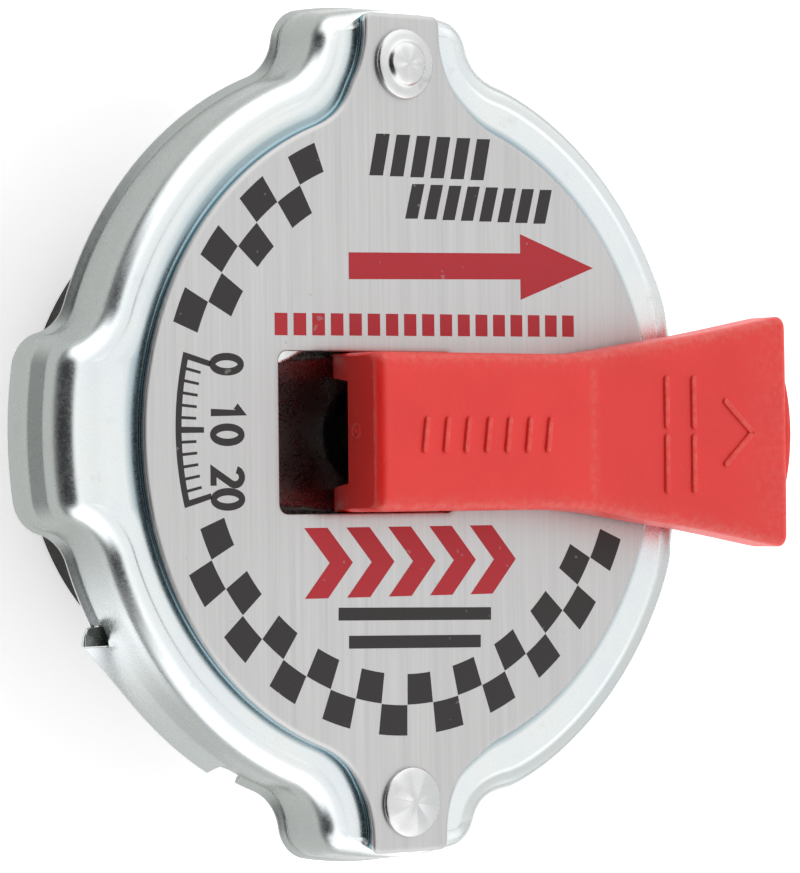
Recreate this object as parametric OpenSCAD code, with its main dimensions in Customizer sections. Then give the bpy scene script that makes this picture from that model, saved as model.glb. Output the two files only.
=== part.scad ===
// Radiator cap with a vent lever.
// The cap's axis is Z, with the face plate up. The lever points along +X.
// Z = 0 is the sealing face of the lower gasket. All sizes are in millimetres.

/* [Cover] */
// Height of the face plate's top above the lower gasket's sealing face
top_z = 26.5; // [26.3:0.1:27]
// Radius of the round skirt wall
skirt_r = 32.3; // [32:0.1:33]
// Depth of the cover from the face plate's top to the skirt's edge
cover_depth = 7.0; // [6.8:0.1:7.2]
// Thickness of the cover's sheet
sheet = 0.8; // [0.7:0.05:0.9]
// Radius over the two plain ears
ear_rx = 36.1; // [35.6:0.1:36.6]
// Radius over the two ears that carry the rivets
ear_ry = 36.95; // [36.8:0.05:37.3]
// Half the width of an ear
ear_half_w = 7.6; // [7:0.1:8]
// Corner radius of an ear, in plan
ear_corner = 2.8; // [2.6:0.1:3.2]
// Radius of the hollow between an ear and the round wall, in plan
ear_fillet = 4.5; // [4:0.1:5]
// How far the rim band lies below the plateau
band_drop = 0.5; // [0.4:0.05:0.7]
// Radius of the shoulder between the rim band and the wall
shoulder = 1.6; // [1.4:0.1:1.8]

/* [Face plate] */
// Radius of the plate
plate_r = 28.2; // [27.8:0.1:28.4]
// Thickness of the plate
plate_t = 0.5; // [0.4:0.05:0.6]
// Half the width of a tongue
tongue_half_w = 4.1; // [4:0.1:4.4]
// End of a tongue from the centre
tongue_end = 36.15; // [35.9:0.05:36.15]
// Radius of the hollow between a tongue and the round edge
tongue_fillet = 9.0; // [8.5:0.1:9.5]
// Distance of a rivet from the centre
rivet_y = 31.84; // [31.6:0.02:32]
// Left end of the lever's slot
slot_x0 = -13.8; // [-14:0.1:-13.4]
// Right end of the lever's slot
slot_x1 = 5.2; // [5:0.1:5.4]
// Half the width of the slot
slot_half_w = 6.9; // [6.85:0.05:7]

/* [Lever] */
// Half the width of the lever's body
lever_half_w = 6.8; // [6.6:0.05:6.8]
// Height of the lever's flat top above the face plate
lever_h = 5.0; // [4.9:0.1:5.2]
// Distance from the pivot to the lever's inner end
lever_foot = 7.05; // [6.9:0.05:7.1]
// Where the lever bends up into its handle
bend_x = 17.2; // [16.5:0.1:18]
// Angle by which the handle rises
bend_deg = 5; // [3:0.5:6]
// Length of the handle from the bend
handle_l = 21.7; // [21:0.1:22]
// Half the width of the handle's free end
handle_half_w = 10.6; // [10.2:0.1:10.8]
// Thickness of the lever's walls
lever_wall = 2.1; // [1.9:0.05:2.15]
// How far the pivot pin lies below the face plate's top
pivot_drop = 1.0; // [0.9:0.05:1.1]

/* [Valve] */
// Radius of the lower gasket
gasket_r = 22.1; // [21.9:0.1:22.4]
// Thickness of the lower gasket
gasket_t = 3.2; // [3.1:0.05:3.3]
// Mean radius of the main spring
spring_r = 12.5; // [12.3:0.1:12.6]
// Wire radius of the main spring
spring_wire = 0.95; // [0.85:0.05:1]
// Turns of the main spring
spring_turns = 5; // [4.5:0.5:5.5]
// Radius of the lift rod
stem_r = 1.4; // [1.35:0.05:1.4]

/* [Hidden] */
$fn = 96;

plateau_z = top_z - plate_t;              // top of the cover's raised middle
band_z = plateau_z - band_drop;           // top of the rim band
lip_z = top_z - cover_depth;              // edge of the skirt
floor_z = top_z - 5.6;                    // floor of the lever's well
floor_under = floor_z - sheet;
pivot_z = top_z - pivot_drop;
head_z = floor_z + 0.5;                   // top of the eyelet's head
dish_z = plateau_z - sheet - 1.9;         // outer face of the spring disc, and the upper gasket's back
cam_gap = 0.2;
cam_a = pivot_z - head_z - cam_gap;       // cam height with the lever flat
lift = lever_foot - cam_a;                // how far the lever lifts the rod
cam_b = lift / (PI / 2);                  // rise for each radian
well_x0 = slot_x0 - 0.3;
well_x1 = slot_x1 + 0.4;
well_half_w = slot_half_w + 0.15;
lever_top = top_z + lever_h;
lever_under = top_z + 0.3;
dia_t = 0.3;
bell_top = floor_under - dia_t;           // upper face of the spring bell
bell_t = 0.8;
bell_ceiling = bell_top - bell_t;
bell_mouth = 9.8;
bell_r = 14.2;
plate_z = gasket_t;                       // underside of the valve plate
plate_top = plate_z + 0.8;
cup_top = plate_top + 4.0;                // top of the valve cup
cup_in = cup_top - 0.8;
cup_r = 9.2;
fit = 0.05;

// ---- outlines -------------------------------------------------------

function arc(cx, cy, r, a0, a1, n, from, to) =
    [for (i = [from:to]) let (a = a0 + (a1 - a0) * i / n)
        [cx + r * cos(a), cy + r * sin(a)]];

// Half an ear and half the round wall beside it, inset by d. The ear's corner
// and the hollow beside it are two arcs that touch.
function half_ear(e, d) =
    let (yc = ear_half_w - ear_corner,
         l1 = e - ear_corner,
         l2 = skirt_r + ear_fillet,
         l3 = ear_corner + ear_fillet,
         xc = sqrt(l1 * l1 - yc * yc),
         b = atan2(yc, xc),
         g = b + acos((l1 * l1 + l2 * l2 - l3 * l3) / (2 * l1 * l2)),
         xf = l2 * cos(g),
         yf = l2 * sin(g),
         h = atan2(yf - yc, xf - xc))
    concat(arc(0, 0, e - d, 0, b, 5, 0, 4),
           arc(xc, yc, ear_corner - d, b, h, 5, 0, 5),
           arc(xf, yf, ear_fillet + d, 180 + h, 180 + g, 5, 1, 5),
           arc(0, 0, skirt_r - d, g, 45, 5, 1, 5));

function back(v) = [for (i = [len(v) - 1:-1:0]) v[i]];
function tail(v) = [for (i = [1:len(v) - 1]) v[i]];
function head(v) = [for (i = [0:len(v) - 2]) v[i]];
function quarter(d) =
    concat(half_ear(ear_rx, d),
           [for (q = tail(back(half_ear(ear_ry, d)))) [q[1], q[0]]]);
function half_turn(d) =
    let (q = quarter(d)) concat(q, tail([for (p = back(q)) [-p[0], p[1]]]));
// The whole skirt outline, inset by d, counter-clockwise from +X.
function skirt_outline(d) =
    let (h = half_turn(d)) concat(head(h), head([for (p = h) [-p[0], -p[1]]]));

// Radius of the plateau's outline at an angle from +X.
tongue_c = [tongue_half_w + tongue_fillet,
            sqrt(pow(plate_r + tongue_fillet, 2)
                 - pow(tongue_half_w + tongue_fillet, 2))];
function plateau_radius(phi) =
    let (a = abs(abs(phi) - 90),
         d = [sin(a), cos(a)],
         m = d * tongue_c,
         q = m * m - tongue_c * tongue_c + tongue_fillet * tongue_fillet)
    a >= atan2(tongue_c[0], tongue_c[1]) ? plate_r
    : a > atan2(tongue_half_w, tongue_c[1]) ? m - sqrt(max(q, 0))
    : min(tongue_end / cos(a), tongue_half_w / max(sin(a), 0.001));

function smooth(t) = let (c = min(max(t, 0), 1)) c * c * (3 - 2 * c);

// One ring of the stamping. kind 0 is measured from the plateau's outline,
// kind 1 from the skirt's outline, kind 2 is a plain circle.
base_ring = skirt_outline(0);
base_angle = [for (p = base_ring) atan2(p[1], p[0])];
base_radius = [for (p = base_ring) norm(p)];
plateau_ring = [for (a = base_angle) plateau_radius(a)];
// 0 where the rim band is wide, 1 where the tongue closes it
closed = [for (i = [0:len(base_ring) - 1])
    smooth((4.2 - (base_radius[i] - plateau_ring[i])) / 3.2)];

function polar(r, a, z) = [r * cos(a), r * sin(a), z];
function band_height(i, z) = z + closed[i] * (band_drop - 0.15);
function room(i) = base_radius[i] - plateau_ring[i];

function stamping_ring(k) =
    let (n = len(base_ring), s = shoulder)
    k == 1 ? [for (i = [0:n - 1]) polar(plateau_ring[i] - 0.45, base_angle[i], plateau_z)]
  : k == 2 ? [for (i = [0:n - 1]) polar(plateau_ring[i] - 0.1, base_angle[i], plateau_z - 0.15)]
  : k == 3 ? [for (i = [0:n - 1]) polar(plateau_ring[i] + min(0.25, room(i) * 0.25), base_angle[i], band_height(i, band_z + 0.1))]
  : k == 4 ? [for (i = [0:n - 1]) polar(plateau_ring[i] + min(0.7, room(i) * 0.4), base_angle[i], band_height(i, band_z))]
  : k >= 5 && k <= 8 ? let (a = (k - 5) * 30)
        [for (i = [0:n - 1]) let (q = min(s, room(i) * 0.5))
            polar(base_radius[i] - q + q * sin(a), base_angle[i],
                  band_height(i, band_z) - q * (1 - cos(a)))]
  : k == 9 ? [for (i = [0:n - 1]) polar(base_radius[i] + 0.2, base_angle[i], lip_z + 0.95)]
  : k == 10 ? [for (i = [0:n - 1]) polar(base_radius[i] + 0.6, base_angle[i], lip_z + 0.45)]
  : k == 11 ? [for (i = [0:n - 1]) polar(base_radius[i] + 0.55, base_angle[i], lip_z)]
  : k == 12 ? [for (i = [0:n - 1]) polar(base_radius[i] - 0.3, base_angle[i], lip_z)]
  : k == 13 ? [for (i = [0:n - 1]) polar(base_radius[i] - sheet, base_angle[i], lip_z + 0.8)]
  : k == 14 ? [for (i = [0:n - 1]) polar(base_radius[i] - sheet, base_angle[i], band_z - s)]
  : k == 15 ? [for (i = [0:n - 1]) let (q = min(s, room(i) * 0.5))
                polar(min(base_radius[i] - q, base_radius[i] - sheet - 0.2),
                      base_angle[i], band_height(i, band_z - sheet))]
  : k == 16 ? [for (i = [0:n - 1])
                polar(min(plateau_ring[i] - 0.5, base_radius[i] - sheet - 0.4),
                      base_angle[i], band_height(i, band_z - sheet))]
  :           [for (i = [0:n - 1]) polar(plateau_ring[i] - 0.9, base_angle[i], plateau_z - sheet)];

first_ring = 1;
last_ring = 17;
disc_n = 36;
// Point of the plateau's inner circle that lies nearest in angle to a ring's point
function spoke(i) = i >= len(base_ring) ? disc_n
    : round((base_angle[i] < -0.01 ? base_angle[i] + 360 : base_angle[i]) * disc_n / 360);
function disc(z) = [for (j = [0:disc_n - 1]) polar(20, 360 * j / disc_n, z)];

// The lofted sheet: plateau, rim band, shoulder, skirt and lip.
module stamped_cap() {
    n = len(base_ring);
    m = last_ring - first_ring;
    t = (m + 1) * n;                      // first point of the upper disc
    u = t + disc_n;                       // first point of the lower disc
    points = concat([for (k = [first_ring:last_ring]) each stamping_ring(k)],
                    disc(plateau_z), disc(plateau_z - sheet));
    faces = concat(
        [for (k = [0:m - 1]) for (i = [0:n - 1])
            let (a = k * n + i, d = k * n + (i + 1) % n, b = a + n, c = d + n)
            each [[a, d, c], [a, c, b]]],
        [for (i = [0:n - 1])
            let (e = (i + 1) % n, j = spoke(i) % disc_n, h = spoke(i + 1) % disc_n)
            each concat([[t + j, e, i], [m * n + i, m * n + e, u + j]],
                        h == j ? [] : [[t + j, t + h, e], [m * n + e, u + h, u + j]])],
        [[for (j = [disc_n - 1:-1:0]) t + j], [for (j = [0:disc_n - 1]) u + j]]);
    polyhedron(points = points, faces = faces, convexity = 8);
}

// A rectangle with round corners.
module round_rect(x0, x1, half_w, r) {
    translate([x0 + r, -half_w]) square([x1 - x0 - 2 * r, 2 * half_w]);
    translate([x0, -half_w + r]) square([x1 - x0, 2 * half_w - 2 * r]);
    for (x = [x0 + r, x1 - r], y = [-half_w + r, half_w - r])
        translate([x, y]) circle(r);
}

// A ring of rectangular section, over part of a turn or a whole one.
module ring(r0, r1, z0, z1) {
    translate([0, 0, z0]) difference() {
        cylinder(r = r1, h = z1 - z0);
        translate([0, 0, -1]) cylinder(r = r0, h = z1 - z0 + 2);
    }
}
module ring_sector(r0, r1, z0, z1, a0, a1) {
    rotate([0, 0, a0]) rotate_extrude(angle = a1 - a0)
        translate([r0, z0]) square([r1 - r0, z1 - z0]);
}

// A round wire wound along a helix with flat ends.
module coil(r, wire, z0, z1, turns, per_turn) {
    n = ceil(turns * per_turn);
    sides = 8;
    flat = 0.8 / turns;
    points = [for (k = [0:n]) let (t = k / n, a = 360 * turns * t,
            u = min(max((t - flat) / (1 - 2 * flat), 0), 1),
            e = 2 * wire * min(t / flat, 1, (1 - t) / flat),
            g = z1 - z0 - 4 * wire,
            z = t < flat ? z0 + 2 * wire * t / flat
              : t > 1 - flat ? z1 - 2 * wire * (1 - t) / flat
              : z0 + 2 * wire + g * u)
        for (m = [0:sides - 1]) let (b = 360 * (m + 0.5) / sides)
            [(r + wire * cos(b)) * cos(a), (r + wire * cos(b)) * sin(a), z + wire * sin(b)]];
    faces = concat(
        [[for (m = [sides - 1:-1:0]) m]],
        [for (k = [0:n - 1]) for (m = [0:sides - 1])
            let (a = k * sides + m, b = k * sides + (m + 1) % sides,
                 c = (k + 1) * sides + (m + 1) % sides, d = (k + 1) * sides + m)
            each [[a, b, c], [a, c, d]]],
        [[for (m = [0:sides - 1]) n * sides + m]]);
    polyhedron(points = points, faces = faces, convexity = 8);
}

// ---- pieces ---------------------------------------------------------

// Steel stamping: plateau, rim band, ears, skirt, well and locking cams.
module cover_shell() {
    color("gainsboro") difference() {
        union() {
            stamped_cap();
            translate([0, 0, floor_under]) linear_extrude(plateau_z - 0.4 - floor_under)
                round_rect(well_x0 - sheet, well_x1 + sheet, well_half_w + sheet, 1.6);
            // inward cams that lock under the rim of the neck
            for (a = [-147, 33])
                ring_sector(28.4, skirt_r - 0.3, lip_z, lip_z + sheet, a, a + 26.4);
            // lanced tabs that stand out of the skirt at the start of each cam
            for (a = [-147.6, 32.4])
                ring_sector(skirt_r - 0.5, skirt_r + 1.9, lip_z + 0.1, lip_z + 0.8, a, a + 3.4);
        }
        translate([0, 0, floor_z]) linear_extrude(10)
            round_rect(well_x0, well_x1, well_half_w, 0.8);
        translate([0, 0, floor_under - 1]) cylinder(r = 4.05, h = 4);
        // lanced gaps before the tabs
        for (a = [-150.6, 29.4])
            ring_sector(skirt_r - 2, skirt_r + 3, lip_z - 0.2, lip_z + 1.2, a, a + 3);
        // relief in the skirt's edge after each cam
        for (a = [-119.8, 60.2])
            ring_sector(skirt_r - 2, skirt_r + 3, lip_z - 0.2, lip_z + 0.9, a, a + 5);
        for (s = [-1, 1])
            translate([0, s * rivet_y, plateau_z - sheet - 1]) cylinder(r = 1.55, h = 4);
    }
}

module plate_outline() {
    t = plate_r / (plate_r + tongue_fillet);
    circle(plate_r);
    for (k = [0, 1]) mirror([0, k]) {
        translate([-tongue_half_w, 20]) square([2 * tongue_half_w, tongue_end - 20.8]);
        translate([-tongue_half_w + 0.8, 20]) square([2 * tongue_half_w - 1.6, tongue_end - 20]);
        for (m = [0, 1]) mirror([m, 0]) {
            translate([tongue_half_w - 0.8, tongue_end - 0.8]) circle(0.8);
            difference() {
                polygon([[tongue_half_w - 0.5, tongue_c[1]], [tongue_half_w - 0.5, 24],
                         [tongue_c[0] * 0.72, 24], tongue_c * t, tongue_c]);
                translate(tongue_c) circle(tongue_fillet);
            }
        }
    }
}

// Brushed face plate.
module name_plate() {
    color("silver") translate([0, 0, plateau_z]) linear_extrude(plate_t) difference() {
        plate_outline();
        round_rect(slot_x0, slot_x1, slot_half_w, 0.9);
        for (s = [-1, 1]) translate([0, s * rivet_y]) circle(1.55);
    }
}

// Rivet with a low domed head and an upset tail.
module rivet(dome) {
    r = 3.1;
    ball = (r * r + dome * dome) / (2 * dome);
    intersection() {
        translate([0, 0, top_z + dome - ball]) sphere(ball);
        translate([0, 0, top_z]) cylinder(r = r + 0.5, h = 3);
    }
    translate([0, 0, plateau_z - sheet - 0.6]) cylinder(r = 1.5, h = plate_t + sheet + 0.7);
    translate([0, 0, plateau_z - sheet - 0.9]) cylinder(r = 2.2, h = 0.9);
}
module plate_rivet_upper() { color("white") translate([0, rivet_y, 0]) rivet(0.9); }
module plate_rivet_lower() { color("white") translate([0, -rivet_y, 0]) rivet(0.7); }

// Side view of a lever cheek: the cam is the curve whose height over the
// floor grows evenly with the lever's angle.
function cam_point(a) =
    let (p = cam_a + cam_b * a * PI / 180)
    [-p * sin(a) - cam_b * cos(a), pivot_z - p * cos(a) + cam_b * sin(a)];
function cheek_side() = concat(
    [for (a = [90:-6:0]) cam_point(a)],
    [for (a = [10:10:80]) [cam_a * sin(a), pivot_z - cam_a * cos(a)]],
    [[4.3, lever_under], [bend_x + 0.6, lever_under],
     [bend_x + 0.6, lever_top - 0.2], [bend_x, lever_top], [-lever_foot, lever_top]]);

// Moulded lever: a channel with two cam cheeks, a notched end and a flared handle.
module lever() {
    w = lever_half_w;
    color("red") difference() {
        union() {
            for (s = [-1, 1])
                translate([0, s * (w - lever_wall / 2) + lever_wall / 2, 0]) rotate([90, 0, 0])
                    linear_extrude(lever_wall) polygon(cheek_side());
            translate([-lever_foot, -w, lever_top - 2]) cube([lever_foot + bend_x, 2 * w, 2]);
            translate([-lever_foot, -w, top_z + 0.75]) cube([lever_wall, 2 * w, lever_h - 0.75]);
            translate([bend_x, 0, lever_top]) rotate([0, -bend_deg, 0]) difference() {
                translate([0, 0, -4.4]) linear_extrude(4.4) difference() {
                    union() {
                        polygon([[-1.6, 0.15 - w], [2.7, -w - 0.6], [11.5, -w - 1.95],
                                 [handle_l, -handle_half_w], [handle_l, handle_half_w],
                                 [11.5, w + 1.95], [2.7, w + 0.6], [-1.6, w - 0.15]]);
                        intersection() {
                            translate([handle_l - 15.5, 0]) circle(16.2);
                            translate([handle_l - 1, -5.2]) square([3, 10.4]);
                        }
                    }
                }
                translate([0, 0, -5]) linear_extrude(2.9)
                    polygon([[-1, -w + 1.9], [3.4, -w + 1.5], [handle_l - 2, -handle_half_w + 2.2],
                             [handle_l - 2, handle_half_w - 2.2], [3.4, w - 1.5], [-1, w - 1.9]]);
            }
        }
        translate([0, w + 1, pivot_z]) rotate([90, 0, 0])
            cylinder(r = 1.25 + fit, h = 2 * w + 2);
    }
}

// Cross pin on which the lever turns.
module pivot_pin() {
    color("dimgray") translate([0, lever_half_w - 0.2, pivot_z]) rotate([90, 0, 0])
        cylinder(r = 1.25, h = 2 * lever_half_w - 0.4);
}

// Lift rod: eye, shank, collar and grooved lower end.
module lift_stem() {
    color("lightgray") difference() {
        union() {
            translate([0, 1.5, pivot_z]) rotate([90, 0, 0]) cylinder(r = 2.5, h = 3);
            translate([0, 0, cup_in - 0.1]) cylinder(r = stem_r, h = pivot_z - cup_in);
            translate([0, 0, cup_in - 0.8]) cylinder(r = 3.2, h = 0.8);
            translate([0, 0, 0.9]) cylinder(r = 1.6, h = cup_in - 1.2);
        }
        translate([0, 5, pivot_z]) rotate([90, 0, 0]) cylinder(r = 1.25, h = 10);
        ring(1.1, 3, 1.2, 1.8);
    }
}

// Rubber sleeve that seals the rod.
module stem_seal() {
    color("black") ring(stem_r + fit, 3.28, bell_ceiling - 0.3, head_z - 0.2);
}

// Hollow rivet through the cover, the diaphragm and the bell.
module centre_eyelet() {
    color("dimgray") difference() {
        union() {
            translate([0, 0, bell_ceiling - 0.6]) cylinder(r = 4.0, h = head_z - bell_ceiling + 0.6);
            translate([0, 0, floor_z]) cylinder(r = 4.5, h = head_z - floor_z);
            translate([0, 0, bell_ceiling - 0.6]) cylinder(r = 4.8, h = 0.6);
        }
        translate([0, 0, bell_ceiling - 2]) cylinder(r = 3.3, h = 10);
    }
}

// Dished spring disc under the cover.
module diaphragm() {
    z0 = bell_top;
    z1 = dish_z;
    color("lightsteelblue") rotate_extrude()
        polygon([[4.1, z0], [17.6, z0], [21.2, z1], [29.4, z1], [29.4, z1 + dia_t],
                 [21.0, z1 + dia_t], [17.4, z0 + dia_t], [4.1, z0 + dia_t]]);
}

// Rubber ring that seals on the top of the neck.
module upper_gasket() {
    z1 = dish_z;
    color("black") rotate_extrude()
        polygon([[22.0, z1 - 1.0], [22.3, z1 - 1.3], [28.2, z1 - 1.3], [28.5, z1 - 1.0],
                 [28.5, z1], [22.0, z1]]);
}

// Inverted cup that holds the main spring.
module spring_bell() {
    color("khaki") difference() {
        rotate_extrude()
            polygon([[4.05, bell_ceiling], [bell_r - 0.8, bell_ceiling], [bell_r, bell_ceiling - 0.8],
                     [bell_r, bell_mouth + 0.7], [bell_r + 1.6, bell_mouth],
                     [bell_r + 2.1, bell_mouth + 0.5], [bell_r + 0.7, bell_mouth + 1.1],
                     [bell_r + 0.7, bell_top - 1.0], [bell_r - 0.3, bell_top], [4.05, bell_top]]);
        for (a = [0:60:300]) rotate([0, 0, a + 30]) translate([bell_r - 3, 0, 14.4])
            rotate([0, 90, 0]) cylinder(r = 2.1, h = 6);
    }
}

// Main coil spring.
module pressure_spring() {
    color("darkgray") coil(spring_r, spring_wire, plate_top + spring_wire + 0.1,
                           bell_ceiling - spring_wire - 0.1, spring_turns, 22);
}

// Pressed plate under the main spring.
module valve_plate() {
    color("lightgray") rotate_extrude()
        polygon([[cup_r + fit, plate_z], [20.9, plate_z], [20.9, plate_top + 1.2],
                 [20.1, plate_top + 1.2], [20.1, plate_top], [15.2, plate_top],
                 [15.0, plate_top + 0.6], [14.2, plate_top + 0.6], [14.0, plate_top],
                 [cup_r + fit, plate_top]]);
}

// Cup that clamps the gasket to the plate and holds the vacuum valve.
module valve_cup() {
    color("silver") difference() {
        rotate_extrude()
            polygon([[stem_r + fit, cup_in], [cup_r - 0.8, cup_in], [cup_r - 0.8, 1.4],
                     [14.5, 1.4], [14.5, 2.2], [cup_r, 2.2], [cup_r, plate_top],
                     [cup_r + 0.8, plate_top], [cup_r + 0.8, plate_top + 0.5],
                     [cup_r, plate_top + 0.8], [cup_r, cup_top - 0.6], [cup_r - 0.6, cup_top],
                     [2.4, cup_top], [2.4, cup_top + 2.5], [stem_r + fit, cup_top + 2.5]]);
        for (a = [0:90:270]) rotate([0, 0, a + 45]) translate([6, 0, cup_in - 1])
            cylinder(r = 1.2, h = 3);
    }
}

// Moulded rubber pressure seal with a lip over the plate's edge.
module lower_gasket() {
    color("black") rotate_extrude()
        polygon([[cup_r + 0.2, 2.2], [15.0, 2.2], [15.2, 0.4], [15.6, 0], [gasket_r - 0.4, 0],
                 [gasket_r, 0.4], [gasket_r, plate_top - 0.2], [gasket_r - 0.4, plate_top + 0.2],
                 [21.2, plate_top + 0.2], [21.0, plate_top], [20.95, plate_z],
                 [cup_r + 0.2, plate_z]]);
}

// Brass disc of the vacuum valve.
module vacuum_disc() {
    color("goldenrod") ring(3.7, 8.0, cup_in - 1.2, cup_in - 0.6);
}

// Rubber washer on the vacuum disc.
module vacuum_seal() {
    color("black") ring(3.9, 7.8, cup_in - 0.6, cup_in);
}

// Light spring under the vacuum disc.
module vacuum_spring() {
    color("darkgray") coil(4.9, 0.25, 2.4 + 0.3, cup_in - 1.2 - 0.3, 4, 20);
}

// Washer that seats the light spring.
module spring_washer() {
    color("silver") ring(1.6 + fit, 6.2, 1.8, 2.4);
}

// Split ring in the rod's groove.
module retaining_ring() {
    color("dimgray") difference() {
        ring(1.1 + fit, 3.0, 1.25, 1.75);
        translate([0, -0.9, 1]) cube([4, 1.8, 1]);
    }
}

cover_shell();
name_plate();
plate_rivet_upper();
plate_rivet_lower();
lever();
pivot_pin();
lift_stem();
stem_seal();
centre_eyelet();
diaphragm();
upper_gasket();
spring_bell();
pressure_spring();
valve_plate();
valve_cup();
lower_gasket();
vacuum_disc();
vacuum_seal();
vacuum_spring();
spring_washer();
retaining_ring();
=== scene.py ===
"""Radiator cap with a vent lever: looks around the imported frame. All lengths below are millimetres."""

import math

import bmesh
import bpy
import numpy as np
from mathutils import Matrix, Vector


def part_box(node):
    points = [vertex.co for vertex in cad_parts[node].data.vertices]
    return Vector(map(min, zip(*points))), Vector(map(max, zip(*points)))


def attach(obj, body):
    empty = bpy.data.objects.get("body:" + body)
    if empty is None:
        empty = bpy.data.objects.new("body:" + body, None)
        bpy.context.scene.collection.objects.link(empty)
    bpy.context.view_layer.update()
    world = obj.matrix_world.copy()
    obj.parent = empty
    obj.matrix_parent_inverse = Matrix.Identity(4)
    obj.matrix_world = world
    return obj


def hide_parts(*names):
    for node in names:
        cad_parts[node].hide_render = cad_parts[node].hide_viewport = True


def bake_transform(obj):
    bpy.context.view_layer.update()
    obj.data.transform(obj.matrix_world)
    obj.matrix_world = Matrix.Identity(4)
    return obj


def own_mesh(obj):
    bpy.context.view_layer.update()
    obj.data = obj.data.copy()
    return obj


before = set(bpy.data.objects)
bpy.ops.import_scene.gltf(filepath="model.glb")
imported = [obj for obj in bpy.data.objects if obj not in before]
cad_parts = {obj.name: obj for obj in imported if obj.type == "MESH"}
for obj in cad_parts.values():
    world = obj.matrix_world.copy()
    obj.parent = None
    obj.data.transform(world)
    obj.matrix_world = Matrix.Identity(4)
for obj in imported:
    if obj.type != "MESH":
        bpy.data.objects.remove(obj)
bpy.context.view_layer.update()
scene = bpy.context.scene
MM = 0.001

# ---------------------------------------------------------------- camera
cam_data = bpy.data.cameras.new("camera")
cam_data.sensor_width = 36.0
cam_data.lens = 183.94
cam_data.clip_start, cam_data.clip_end = 0.01, 20.0
cam = bpy.data.objects.new("camera", cam_data)
scene.collection.objects.link(cam)
c_right = Vector((0.780368, -0.010666, 0.62523))
c_up = Vector((-0.000214, 0.99985, 0.017323))
c_back = Vector((-0.62532, -0.013652, 0.780249))
cam.matrix_world = Matrix(
    (
        (c_right.x, c_up.x, c_back.x, -0.24112),
        (c_right.y, c_up.y, c_back.y, -0.00559),
        (c_right.z, c_up.z, c_back.z, 0.32637),
        (0, 0, 0, 1),
    )
)
scene.camera = cam
scene.view_settings.view_transform = "Standard"
scene.view_settings.look = "None"


# ---------------------------------------------------------------- helpers
def smoothstep(t):
    t = np.clip(t, 0.0, 1.0)
    return t * t * (3 - 2 * t)


def make(name, verts, faces, mats, sharp=35.0, attrs=None, face_mats=None, outward=True):
    """A mesh object from points in millimetres."""
    me = bpy.data.meshes.new(name)
    me.from_pydata((np.asarray(verts, float) * MM).tolist(), [], faces)
    if attrs:
        for key, values in attrs.items():
            a = me.attributes.new(key, "FLOAT", "POINT")
            a.data.foreach_set("value", np.asarray(values, np.float32))
    for m in mats if isinstance(mats, (list, tuple)) else [mats]:
        me.materials.append(m)
    if face_mats is not None:
        me.polygons.foreach_set("material_index", np.asarray(face_mats, np.int32))
    if outward:
        bm = bmesh.new()
        bm.from_mesh(me)
        bmesh.ops.recalc_face_normals(bm, faces=bm.faces[:])
        bm.to_mesh(me)
        bm.free()
    me.polygons.foreach_set("use_smooth", np.ones(len(me.polygons), bool))
    me.set_sharp_from_angle(angle=math.radians(sharp))
    me.update()
    ob = bpy.data.objects.new(name, me)
    scene.collection.objects.link(ob)
    return ob


class Build:
    """Collects points and faces of one piece."""

    def __init__(self):
        self.v, self.f, self.m, self.a = [], [], [], []
        self.n = 0

    def points(self, pts, a=0.0):
        pts = np.asarray(pts, float).reshape(-1, 3)
        base = self.n
        self.v.append(pts)
        self.a.append(np.broadcast_to(np.asarray(a, float), (len(pts),)).copy())
        self.n += len(pts)
        return base

    def face(self, f, m=0):
        self.f.append(tuple(int(i) for i in f))
        self.m.append(m)

    def rings(self, rings, closed=True, wrap=False, a=None, m=0, skip=None):
        """Skins a list of rings with equal counts. wrap joins the last ring to the first."""
        n = len(rings[0])
        bases = [self.points(r, 0.0 if a is None else a[k]) for k, r in enumerate(rings)]
        last = len(rings) if wrap else len(rings) - 1
        for k in range(last):
            b0, b1 = bases[k], bases[(k + 1) % len(rings)]
            for i in range(n if closed else n - 1):
                if skip is not None and skip(k, i):
                    continue
                j = (i + 1) % n
                self.face((b0 + i, b0 + j, b1 + j, b1 + i), m)
        return bases

    def cap(self, base, n, m=0):
        self.face([base + i for i in range(n)], m)

    def prism(self, outline, z0, z1, m=0, a=0.0, move=(0.0, 0.2)):
        """A flat shape: closed outline in plan, from z0 to z1."""
        o = np.asarray(outline, float) + np.asarray(move, float)
        n = len(o)
        lo = self.points(np.column_stack([o, np.full(n, z0)]), a)
        hi = self.points(np.column_stack([o, np.full(n, z1)]), a)
        for i in range(n):
            j = (i + 1) % n
            self.face((lo + i, lo + j, hi + j, hi + i), m)
        self.face([hi + i for i in range(n)], m)
        self.face([lo + i for i in reversed(range(n))], m)

    def object(self, name, mats, sharp=35.0, attr=None, outward=True):
        v = np.vstack(self.v)
        attrs = {attr: np.concatenate(self.a)} if attr else None
        return make(name, v, self.f, mats, sharp, attrs, self.m, outward)


# ---------------------------------------------------------------- materials
def material(name):
    m = bpy.data.materials.new(name)
    m.use_nodes = True
    nt = m.node_tree
    return m, nt, nt.nodes["Principled BSDF"]


def node(nt, kind, inputs=None, **props):
    n = nt.nodes.new(kind)
    for k, v in props.items():
        setattr(n, k, v)
    for k, v in (inputs or {}).items():
        if isinstance(v, bpy.types.NodeSocket):
            nt.links.new(v, n.inputs[k])
        else:
            n.inputs[k].default_value = v
    return n


def coords(nt, scale=(1, 1, 1), rotation=(0, 0, 0)):
    tc = node(nt, "ShaderNodeTexCoord")
    mp = node(nt, "ShaderNodeMapping", {"Vector": tc.outputs["Object"], "Scale": scale, "Rotation": rotation})
    return mp.outputs["Vector"]


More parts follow.
